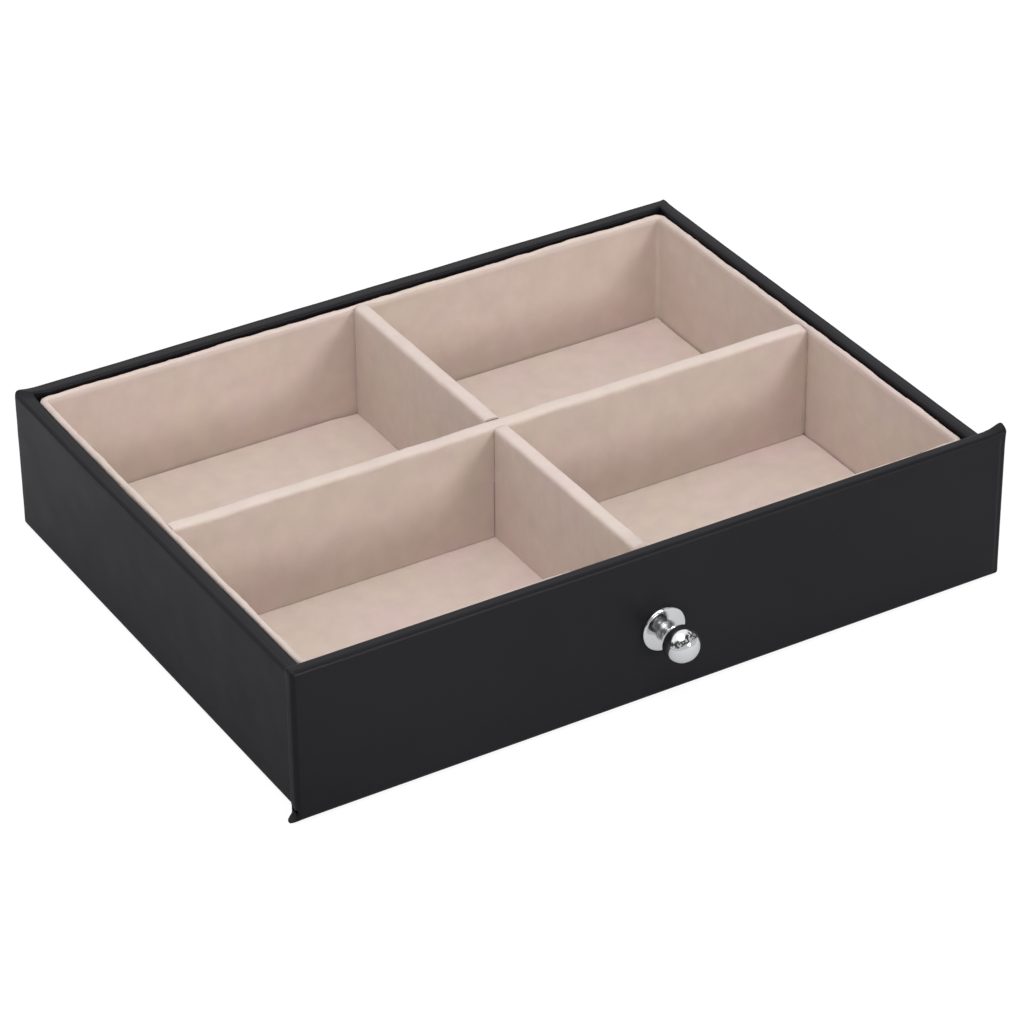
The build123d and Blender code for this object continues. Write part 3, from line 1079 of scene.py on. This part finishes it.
def studio_floor():
    """A wide pale floor that keeps the object's soft shadow: mostly white light of its own where it is seen.
    In reflections only, its colour is darker at the drawer's left, most at the front: painted shade for the
    leather to reflect."""
    half, level = 6.0, -0.02 * mm
    grey, darker = (0.65, 0.65, 0.65), (0.44, 0.425, 0.445)
    white_share, white_strength = 0.78, 1.15
    mesh = bpy.data.meshes.new("studio_floor")
    corners = [(-half, -half, level), (half, -half, level), (half, half, level), (-half, half, level)]
    mesh.from_pydata(corners, [], [(0, 1, 2, 3)])
    floor = bpy.data.objects.new("studio_floor", mesh)
    bpy.context.scene.collection.objects.link(floor)
    paper = bpy.data.materials.new("studio_floor")
    paper.use_nodes = True
    tree = paper.node_tree
    tree.nodes.clear()
    axes = node(tree, "SeparateXYZ", {0: node(tree, "TexCoord").outputs["Object"]}).outputs
    # Painted shade, seen only in reflections: the floor's colour darkened beside the drawer's left side, most
    # towards the front
    beside_drawer = ramped(tree, axes["X"], -0.10, -0.13)
    not_far_left = ramped(tree, axes["X"], -0.40, -0.22)
    to_the_front = ramped(tree, axes["Y"], 0.16, -0.06)
    shade = worked_out(tree, "MULTIPLY", beside_drawer, not_far_left)
    shade = worked_out(tree, "MULTIPLY", shade, to_the_front)
    shade = worked_out(tree, "MULTIPLY", shade, node(tree, "LightPath").outputs["Is Glossy Ray"])
    plain = node(tree, "BsdfDiffuse", {"Color": blend(tree, shade, grey, darker)}).outputs[0]
    white = even_light(tree, "Emission", white_strength)
    share = worked_out(tree, "MULTIPLY", seen_directly(tree), white_share)
    node(tree, "OutputMaterial", {"Surface": mixed(tree, share, plain, white)})
    mesh.materials.append(paper)


def studio_world():
    """Even white surroundings. Polished metal sees a lit sky behind and above, a dark band across the front
    with a few bright spots, and a pale part below it."""
    world = bpy.data.worlds.new("studio")
    bpy.context.scene.world = world
    world.use_nodes = True
    tree = world.node_tree
    tree.nodes.clear()
    band_axis, band_middle = (-0.20, 0.57, 0.80), 0.2
    band_colour = (0.05, 0.05, 0.05)
    direction = node(tree, "TexCoord").outputs["Generated"]
    axes = node(tree, "SeparateXYZ", {0: direction}).outputs
    lean = node(tree, "VectorMath", {0: direction, 1: band_axis}, operation="DOT_PRODUCT").outputs["Value"]
    above = ramped(tree, axes["Z"], 0.0, 0.38, 0.1, 1.0)
    sky = worked_out(tree, "MAXIMUM", above, ramped(tree, lean, 0.38, 0.26))
    lit = worked_out(tree, "MULTIPLY", ramped(tree, lean, 0.1, 0.3, 0.6, 1.05), sky)
    beside_band = worked_out(tree, "ABSOLUTE", worked_out(tree, "SUBTRACT", lean, band_middle))
    in_band = ramped(tree, beside_band, 0.42, 0.32)
    in_front = ramped(tree, axes["Y"], 0.45, 0.25)
    cloud = node(tree, "TexNoise", {"Vector": direction, "Scale": 4.5, "Detail": 3.0}).outputs["Fac"]
    between_spots = ramped(tree, cloud, 0.57, 0.53)
    dark = worked_out(tree, "MULTIPLY", worked_out(tree, "MULTIPLY", in_band, in_front), between_spots)
    mirrored = even_light(tree, "Background", 1.0, blend(tree, dark, lit, band_colour))
    plain = even_light(tree, "Background", 0.745)
    white = even_light(tree, "Background", 1.0)
    around = mixed(tree, node(tree, "LightPath").outputs["Is Glossy Ray"], plain, mirrored)
    node(tree, "OutputWorld", {"Surface": mixed(tree, seen_directly(tree), around, white)})


def soft_lamp(name, place, size, power, colour):
    """A round soft lamp aimed at the middle of the drawer."""
    drawer_middle = Vector((0, 0, 0.02))
    light = bpy.data.lights.new(name, "AREA")
    light.shape = "DISK"
    light.size = size
    light.energy = power
    light.color = colour
    lamp = bpy.data.objects.new(name, light)
    lamp.location = place
    lamp.rotation_euler = (drawer_middle - Vector(place)).to_track_quat("-Z", "Y").to_euler()
    bpy.context.scene.collection.objects.link(lamp)


def photo_camera():
    """The camera at the photograph's own place, turned to the right, pitched down and rolled a little."""
    turn, pitch, roll = math.radians(30.7502), math.radians(32.3850), math.radians(-0.5369)
    data = bpy.data.cameras.new("camera")
    data.lens = 150.45
    data.sensor_width = 36.0
    data.clip_start, data.clip_end = 0.05, 30.0
    camera = bpy.data.objects.new("camera", data)
    camera.location = (-0.596547, -1.012823, 0.758958)
    turning = Matrix.Rotation(-turn, 4, "Z") @ Matrix.Rotation(math.pi / 2 - pitch, 4, "X")
    camera.rotation_euler = (turning @ Matrix.Rotation(roll, 4, "Z")).to_euler()
    bpy.context.scene.collection.objects.link(camera)
    bpy.context.scene.camera = camera


studio_floor()
studio_world()
soft_lamp("overhead_lamp", place=(-0.45, -0.5, 1.9), size=1.6, power=17.9, colour=(1.0, 1.035, 1.09))
soft_lamp("front_lamp", place=(0.5, -1.8, 0.61), size=0.33, power=10.6, colour=(1.0, 1.0, 1.0))
photo_camera()
bpy.context.scene.view_settings.view_transform = "Standard"
